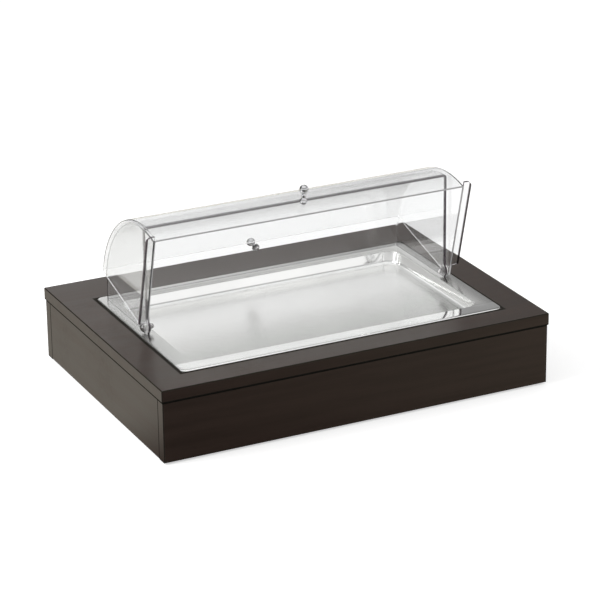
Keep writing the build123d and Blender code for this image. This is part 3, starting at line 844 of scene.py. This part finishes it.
# the rim rolls down to its edge in a quarter of an ellipse, then drops straight to the slab
pick("EDGE", lambda edge: len(edge.link_faces) == 1)
reached = Vector((tray["length"] / 2 - tray["rollWidth"], tray["width"] / 2 - tray["rollWidth"], rimTop))
for step in range(1, tray["rollSteps"] + 2):
    bend = math.radians(90) * min(step, tray["rollSteps"]) / tray["rollSteps"]
    inset = tray["rollWidth"] * (1 - math.sin(bend))
    level = rimTop - tray["rollHeight"] * (1 - math.cos(bend))
    if step > tray["rollSteps"]:
        level = rimTop - tray["rimDrop"]
    target = Vector((tray["length"] / 2 - inset, tray["width"] / 2 - inset, level))
    bpy.ops.mesh.extrude_edges_move(TRANSFORM_OT_translate={"value": (0, 0, target.z - reached.z)})
    bpy.ops.transform.resize(
        value=(target.x / reached.x, target.y / reached.y, 1), center_override=(0, tray["shift"], level)
    )
    reached = target
bpy.ops.mesh.select_all(action="SELECT")
bpy.ops.mesh.normals_make_consistent(inside=False)
pick("FACE", lambda face: abs(face.normal.z) > aligned and face.calc_area() > tray["floorLeastArea"])
floorUp = [face.normal.z for face in bmesh.from_edit_mesh(bpy.context.object.data).faces if face.select]
if floorUp[0] < 0:
    bpy.ops.mesh.select_all(action="SELECT")
    bpy.ops.mesh.flip_normals()
trayPiece = toObjectMode()
applyModifier(trayPiece, "SOLIDIFY", thickness=tray["sheet"], offset=-1, use_even_offset=True)
smoothByAngle(trayPiece)
trayPiece.name = "pressedTray"
finishPiece(trayPiece, "tray", "steel_tray", "stainless_steel", "traySteel")
print("tray pressed")


# clear covers

hood = {
    "pivot": Vector((0, -0.022, 0.128)),
    "wall": 0.003,
    "corner": 0.0045,
    "cornerSteps": 7,
    "edgeSoft": 0.0005,
    "softLimit": 60,
    "arcSteps": 92,
    "lugSteps": 14,
    "knobBore": 0.00205,
    "knobDrill": 0.012,
    "pivotDrill": 0.6,
}
rearCover = {
    "radius": 0.156,
    "halfWidth": 0.2515,
    "lead": 0.004,
    "drop": 0.010,
    "lugRadius": 0.009,
    "boreRadius": 0.00255,
    "knobAngle": 11.309,
    "arcSlack": 0.001,
}
frontCover = {
    "radius": 0.1615,
    "halfWidth": 0.257,
    "lag": 0.004,
    "drop": 0.0095,
    "openAngle": 75,
    "boreRadius": 0.00405,
    "knobAngle": 8.5,
    "earStart": 0.014,
    "earReach": 0.006,
    "earWidth": 0.012,
    "earCorner": 0.009,
    "earSteps": 10,
    "arcSlack": 0.0005,
}
pivot = hood["pivot"]


def openShell(piece, isOpening, isCorner, wallFinish, edgeFinish):
    # rounds the barrel's ends, opens the block and gives the rest its wall, with another finish on cut edges
    pick("EDGE", isCorner)
    bpy.ops.mesh.bevel(
        offset=hood["corner"], segments=hood["cornerSteps"], affect="EDGES", clamp_overlap=True
    )
    pick("FACE", isOpening)
    bpy.ops.mesh.delete(type="FACE")
    toObjectMode()
    piece.data.materials.append(materials[wallFinish])
    piece.data.materials.append(materials[edgeFinish])
    applyModifier(
        piece,
        "SOLIDIFY",
        thickness=hood["wall"],
        offset=-1,
        use_even_offset=True,
        use_quality_normals=True,
        material_offset_rim=1,
    )


def boreHole(piece, centre, axis, radius, length):
    joinShape(piece, roundRod("drill", centre, axis, radius, length), "DIFFERENCE")


# rear cover: its outline in the plane of the left end, pulled across to the right end
radius = rearCover["radius"]
lead = rearCover["lead"]
drop = rearCover["drop"]
lug = rearCover["lugRadius"]
leftEnd = pivot - Vector((rearCover["halfWidth"], 0, 0))
lugHeight = math.sqrt(lug**2 - lead**2)
startPoint("rearShell", leftEnd + Vector((0, -lead, -drop)))
lineTo(leftEnd + Vector((0, radius, -drop)))
lineTo(leftEnd + Vector((0, radius, 0)))
arcTo(leftEnd, (1, 0, 0), 90 + math.degrees(math.asin(lead / radius)), hood["arcSteps"])
lineTo(leftEnd + Vector((0, -lead, lugHeight)))
arcTo(leftEnd, (1, 0, 0), 2 * (180 - math.degrees(math.atan2(lugHeight, -lead))), hood["lugSteps"])
fillOutline()
pullFaces((2 * rearCover["halfWidth"], 0, 0))
rearShell = bpy.context.object


def isRearOpening(face):
    place = face.calc_center_median() - pivot
    return abs(face.normal.x) < endTilt and (place.y < -lead + tiny or face.normal.z < -aligned)


def isRearCorner(edge):
    if abs(edge.verts[0].co.x - edge.verts[1].co.x) > tiny:
        return False
    return all(
        math.hypot(vert.co.y - pivot.y, vert.co.z - pivot.z) > radius - rearCover["arcSlack"]
        or abs(vert.co.y - pivot.y - radius) < tiny
        for vert in edge.verts
    )


openShell(rearShell, isRearOpening, isRearCorner, "clearRear", "sawnEdge")
boreHole(rearShell, pivot, (1, 0, 0), rearCover["boreRadius"], hood["pivotDrill"])
print("rear cover shell:", len(rearShell.data.polygons), "faces")

# front cover, as it stands at rest: swung back over the rear one
turn = math.radians(frontCover["openAngle"])
along = Vector((0, -math.cos(turn), math.sin(turn)))
away = Vector((0, math.sin(turn), math.cos(turn)))
outerRadius = frontCover["radius"]
lag = frontCover["lag"]
frontDrop = frontCover["drop"]
reach = math.sqrt(outerRadius**2 - frontDrop**2)
seamTurn = math.degrees(math.asin(lag / outerRadius))
dropTurn = math.degrees(math.asin(frontDrop / outerRadius))
lugTurn = 90 + math.degrees(math.asin(lag / frontDrop))
leftEnd = pivot - Vector((frontCover["halfWidth"], 0, 0))
startPoint("frontShell", leftEnd - away * frontDrop)
lineTo(leftEnd + along * reach - away * frontDrop)
arcTo(leftEnd, (-1, 0, 0), dropTurn + 90 + seamTurn, hood["arcSteps"])
lineTo(leftEnd - along * lag + away * math.sqrt(frontDrop**2 - lag**2))
arcTo(leftEnd, (-1, 0, 0), 270 - lugTurn, hood["lugSteps"])
fillOutline()
pullFaces((2 * frontCover["halfWidth"], 0, 0))
frontShell = bpy.context.object


def isFrontOpening(face):
    place = face.calc_center_median() - pivot
    return abs(face.normal.x) < endTilt and (place.dot(along) < -tiny or face.normal.dot(away) < -aligned)


def isFrontCorner(edge):
    if abs(edge.verts[0].co.x - edge.verts[1].co.x) > tiny:
        return False
    return all(
        math.hypot(vert.co.y - pivot.y, vert.co.z - pivot.z) > outerRadius - frontCover["arcSlack"]
        for vert in edge.verts
    )


openShell(frontShell, isFrontOpening, isFrontCorner, "clearFront", "polishedEdge")

# ears: flat strips along the foot of both end walls, rounded at the tip, with sawn outer edges
frontShell.data.materials.append(materials["sawnEdge"])
earFinishes = ("clearFront", "polishedEdge", "sawnEdge")
for side in (-1, 1):
    inner = side * (frontCover["halfWidth"] - hood["wall"] / 2)
    outer = side * (frontCover["halfWidth"] + frontCover["earWidth"])
    base = pivot - away * frontDrop
    tip = reach + frontCover["earReach"]
    corner = frontCover["earCorner"]
    startPoint("ear", base + Vector((inner, 0, 0)) + along * frontCover["earStart"])
    lineTo(base + Vector((outer, 0, 0)) + along * frontCover["earStart"])
    lineTo(base + Vector((outer, 0, 0)) + along * (tip - corner))
    arcCentre = base + Vector((outer - side * corner, 0, 0)) + along * (tip - corner)
    arcTo(arcCentre, away * -side, 90, frontCover["earSteps"])
    lineTo(base + Vector((inner, 0, 0)) + along * tip)
    fillOutline()
    pullFaces(away * hood["wall"])
    ear = toObjectMode()
    for finish in earFinishes:
        ear.data.materials.append(materials[finish])
    for face in ear.data.polygons:
        isFlat = abs(face.normal.dot(away)) > aligned
        face.material_index = earFinishes.index("clearFront" if isFlat else "sawnEdge")
    joinShape(frontShell, ear, "UNION")
boreHole(frontShell, pivot, (1, 0, 0), frontCover["boreRadius"], hood["pivotDrill"])
print("front cover shell:", len(frontShell.data.polygons), "faces")

knobTurn = math.radians(frontCover["knobAngle"])
frontOut = along * math.cos(knobTurn) + away * math.sin(knobTurn)
knobTurn = math.radians(rearCover["knobAngle"])
rearOut = Vector((0, math.cos(knobTurn), math.sin(knobTurn)))
for piece, direction, wallRadius in ((frontShell, frontOut, outerRadius), (rearShell, rearOut, radius)):
    boreHole(piece, pivot + direction * wallRadius, direction, hood["knobBore"], hood["knobDrill"])
    softenEdges(piece, hood["edgeSoft"], hood["softLimit"])
    smoothByAngle(piece)
    applyModifier(piece, "WEIGHTED_NORMAL", mode="FACE_AREA", weight=100, keep_sharp=True)
finishPiece(rearShell, "hood", "rear_cover", "clear_plastic")
finishPiece(frontShell, "front_lid", "front_cover", "clear_plastic")
print("covers formed")


# screws with a hexagon socket

# levels and lengths are shares of the head's height, crownRadius one of its radius, point one of the shank's
screwForm = {
    "rimLevel": 0.55,
    "crownRadius": 0.62,
    "point": 1.5,
    "turnSteps": 36,
    "socketLength": 1.1,
    "socketSides": 6,
    "soft": 0.06,
    "softLimit": 40,
}


def makeScrew(name, place, axis, sizes):
    # axis points out of the head, and the shank runs the other way from place, where the head seats
    axis = Vector(axis).normalized()
    side = axis.orthogonal().normalized()
    place = Vector(place)
    head = sizes["headHeight"]
    rim = place + axis * head * screwForm["rimLevel"] + side * sizes["headRadius"]
    startPoint(name, rim)
    lineTo(place + axis * head + side * sizes["headRadius"] * screwForm["crownRadius"])
    lineTo(place + axis * head)
    pick("VERT", lambda vert: (vert.co - rim).length < tiny)
    for reachOut, level in (
        (sizes["headRadius"], 0.0),
        (sizes["shankRadius"], 0.0),
        (sizes["shankRadius"], screwForm["point"] * sizes["shankRadius"] - sizes["length"]),
        (0.0, -sizes["length"]),
    ):
        lineTo(place + axis * level + side * reachOut)
    bpy.ops.mesh.select_all(action="SELECT")
    arcTo(place, axis, 360, screwForm["turnSteps"])
    bpy.ops.mesh.select_all(action="SELECT")
    bpy.ops.mesh.remove_doubles(threshold=tiny / 4)
    bpy.ops.mesh.normals_make_consistent(inside=False)
    screw = toObjectMode()
    socket = roundRod(
        "socket",
        place + axis * head,
        axis,
        sizes["socket"] / 2,
        head * screwForm["socketLength"],
        screwForm["socketSides"],
    )
    joinShape(screw, socket, "DIFFERENCE")
    softenEdges(screw, head * screwForm["soft"], screwForm["softLimit"])
    smoothByAngle(screw)
    return screw


pivotScrew = {
    "headRadius": 0.0055,
    "headHeight": 0.003,
    "shankRadius": 0.0025,
    "length": 0.0148,
    "socket": 0.0046,
}
knobScrew = {
    "headRadius": 0.0038,
    "headHeight": 0.0022,
    "shankRadius": 0.002,
    "length": 0.01241,
    "socket": 0.0033,
    "frontSeat": 0.15759,
    "rearSeat": 0.15208,
}
footScrew = {
    "headRadius": 0.004,
    "headHeight": 0.0016,
    "shankRadius": 0.002,
    "length": 0.024,
    "socket": 0.0033,
}

for side, label in ((-1, "left"), (1, "right")):
    node = "pivot_screw_" + label
    low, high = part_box(node)
    headSeat = (high.x if side > 0 else low.x) - side * pivotScrew["headHeight"]
    screw = makeScrew("pivotScrew_" + label, (headSeat, pivot.y, pivot.z), (side, 0, 0), pivotScrew)
    finishPiece(screw, "hood", node, "bright_steel", "turnedSteel")

for label, body, direction in (("front", "front_lid", frontOut), ("rear", "hood", rearOut)):
    # the head faces the inside of the cover
    seat = pivot + direction * knobScrew[label + "Seat"]
    screw = makeScrew("knobScrew_" + label, seat, -direction, knobScrew)
    finishPiece(screw, body, label + "_knob_screw", "bright_steel", "turnedSteel")

low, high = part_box("foot_screws")
screws = []
for signX in (-1, 1):
    for signY in (-1, 1):
        place = (
            signX * (high.x - footScrew["headRadius"]),
            signY * (high.y - footScrew["headRadius"]),
            low.z + footScrew["headHeight"],
        )
        screws.append(makeScrew("footScrews", place, (0, 0, -1), footScrew))
activate(screws[0])
for screw in screws:
    screw.select_set(True)
bpy.ops.object.join()
finishPiece(screws[0], "base", "foot_screws", "zinc_steel", "zincSteel")
print("screws made")


# camera as the photograph stands

view = {
    "azimuth": 25.94,
    "elevation": 21.65,
    "roll": -0.70,
    "distance": 4.563,
    "focalPixels": 2786,
    "imageWidth": 600,
    "target": Vector((0.1377, 0.2584, 0)),
    "sensor": 36,
    "clipEnd": 50,
}
azimuth = math.radians(view["azimuth"])
elevation = math.radians(view["elevation"])
roll = math.radians(view["roll"])
onFloor = math.cos(elevation)
back = Vector((-math.sin(azimuth) * onFloor, -math.cos(azimuth) * onFloor, math.sin(elevation)))
right = (-back).cross(Vector((0, 0, 1))).normalized()
up = back.cross(right)
across = right * math.cos(roll) + up * math.sin(roll)
upward = up * math.cos(roll) - right * math.sin(roll)
camera = bpy.data.objects.new("camera", bpy.data.cameras.new("camera"))
bpy.context.scene.collection.objects.link(camera)
camera.matrix_world = Matrix.Translation(view["target"] + back * view["distance"]) @ Matrix(
    (across, upward, back)
).transposed().to_4x4()
camera.data.sensor_width = view["sensor"]
camera.data.lens = view["sensor"] * view["focalPixels"] / view["imageWidth"]
camera.data.clip_end = view["clipEnd"]
bpy.context.scene.camera = camera


# studio: the camera sees a white floor and world, and metal and plastic mirror dimmer parts of both

# tones are strengths, and the ranges beside them are metres on the floor
floorLook = {
    "size": 40,
    "colour": (0.80, 0.80, 0.80),
    "glow": 0.50,
    "frontRange": (-0.3, 0.5),
    "frontTones": (0.03, 0.36),
    "besideRange": (-0.28, 0.00),
    "besideTone": 0.74,
    "mirrorColour": (1.0, 0.98, 0.88),
    "throughTone": 1.09,
}

deselectAll()
bpy.ops.mesh.primitive_plane_add(size=floorLook["size"], location=(0, 0, 0))
floor = bpy.context.object
floor.name = "studioFloor"
floorMaterial = bpy.data.materials.new("studioFloor")
floorMaterial.use_nodes = True
tree = floorMaterial.node_tree
tree.nodes.remove(tree.nodes["Principled BSDF"])
path = addNode(tree, "ShaderNodeLightPath").outputs
matte = addNode(tree, "ShaderNodeBsdfDiffuse", None, {"Color": (*floorLook["colour"], 1)})
glowing = mathNode(tree, "MULTIPLY", path["Is Camera Ray"], floorLook["glow"])
glow = addNode(tree, "ShaderNodeEmission", None, {"Color": (*white, 1), "Strength": glowing})
lit = addNode(tree, "ShaderNodeAddShader", None, {0: matte.outputs[0], 1: glow.outputs[0]})
spot = splitAxes(tree, objectPoints(tree))
ahead = rangeNode(tree, spot["X"], *floorLook["frontRange"], *floorLook["frontTones"])
beside = rangeNode(tree, spot["Y"], *floorLook["besideRange"], 0.0, floorLook["besideTone"])
tone = mathNode(tree, "MAXIMUM", ahead, beside)
tone = rangeNode(tree, path["Is Transmission Ray"], 0.0, 1.0, tone, floorLook["throughTone"])
colour = mixColour(tree, path["Is Transmission Ray"], floorLook["mirrorColour"], white)
mirrored = addNode(tree, "ShaderNodeEmission", None, {"Color": colour, "Strength": tone})
bent = mathNode(tree, "MAXIMUM", path["Is Glossy Ray"], path["Is Transmission Ray"])
both = addNode(tree, "ShaderNodeMixShader", None, {0: bent, 1: lit.outputs[0], 2: mirrored.outputs[0]})
tree.links.new(both.outputs[0], tree.nodes["Material Output"].inputs["Surface"])
floor.data.materials.append(floorMaterial)

# tones are strengths, and the ranges beside them are parts of the direction that a ray takes
sky = {
    "plain": 0.55,
    "bandRange": (0.36, 0.52),
    "bandTone": 0.62,
    "topRange": (0.52, 0.80),
    "topTone": 1.05,
    "frontRange": (-0.35, 0.15),
    "frontTone": 0.70,
    "lowRange": (0.24, 0.36),
    "rearRange": (0.1, 0.4),
    "leftRange": (-0.02, 0.24),
    "rearLeftTone": 0.10,
    "rightRange": (0.35, 0.46),
    "rearRightTone": 0.30,
}
world = bpy.data.worlds.new("studio")
bpy.context.scene.world = world
world.use_nodes = True
tree = world.node_tree
path = addNode(tree, "ShaderNodeLightPath").outputs
aim = splitAxes(tree, addNode(tree, "ShaderNodeTexCoord").outputs["Generated"])
band = rangeNode(tree, aim["Z"], *sky["bandRange"], 1.0, sky["bandTone"])
overhead = rangeNode(tree, aim["Z"], *sky["topRange"], 0.0, sky["topTone"])
height = mathNode(tree, "MAXIMUM", band, overhead)
# the front is dim well above the horizon, and so are both sides of the rear
front = rangeNode(tree, aim["Y"], *sky["frontRange"], sky["frontTone"], 1.0)
front = mathNode(tree, "MAXIMUM", front, rangeNode(tree, aim["Z"], *sky["lowRange"], 1.0, 0.0))
atRear = rangeNode(tree, aim["Y"], *sky["rearRange"])
toLeft = rangeNode(tree, aim["X"], *sky["leftRange"], 1.0 - sky["rearLeftTone"], 0.0)
toLeft = mathNode(tree, "SUBTRACT", 1.0, mathNode(tree, "MULTIPLY", toLeft, atRear))
toRight = rangeNode(tree, aim["X"], *sky["rightRange"], 0.0, 1.0 - sky["rearRightTone"])
toRight = mathNode(tree, "SUBTRACT", 1.0, mathNode(tree, "MULTIPLY", toRight, atRear))
around = mathNode(tree, "MAXIMUM", mathNode(tree, "MULTIPLY", front, toLeft), overhead)
around = mathNode(tree, "MULTIPLY", around, toRight)
mirrored = mathNode(tree, "MULTIPLY", path["Is Glossy Ray"], mathNode(tree, "MULTIPLY", height, around))
through = mathNode(tree, "MULTIPLY", path["Is Transmission Ray"], height)
diffuse = mathNode(tree, "MULTIPLY", path["Is Diffuse Ray"], sky["plain"])
strength = mathNode(tree, "MAXIMUM", mirrored, through)
strength = mathNode(tree, "MAXIMUM", strength, diffuse)
strength = mathNode(tree, "MAXIMUM", strength, path["Is Camera Ray"])
tree.links.new(strength, tree.nodes["Background"].inputs["Strength"])
tree.nodes["Background"].inputs["Color"].default_value = (*white, 1)

lamps = {
    "keyLamp": {"place": (-2.0, 0.25, 1.6), "aim": (-0.1, 0.1, 0.1), "side": 1.5, "power": 46},
    "fillLamp": {"place": (1.9, -1.3, 0.9), "aim": (0, 0, 0.1), "side": 1.2, "power": 15},
}
for name, lamp in lamps.items():
    light = bpy.data.lights.new(name, "AREA")
    light.shape = "SQUARE"
    light.size = lamp["side"]
    light.energy = lamp["power"]
    holder = bpy.data.objects.new(name, light)
    bpy.context.scene.collection.objects.link(holder)
    holder.location = lamp["place"]
    holder.rotation_euler = (Vector(lamp["aim"]) - Vector(lamp["place"])).to_track_quat("-Z", "Y").to_euler()
    # metal and clear plastic mirror the sky above, not the lamps
    holder.visible_glossy = False

bpy.context.scene.view_settings.view_transform = "Standard"
print("camera, floor and lamps set")
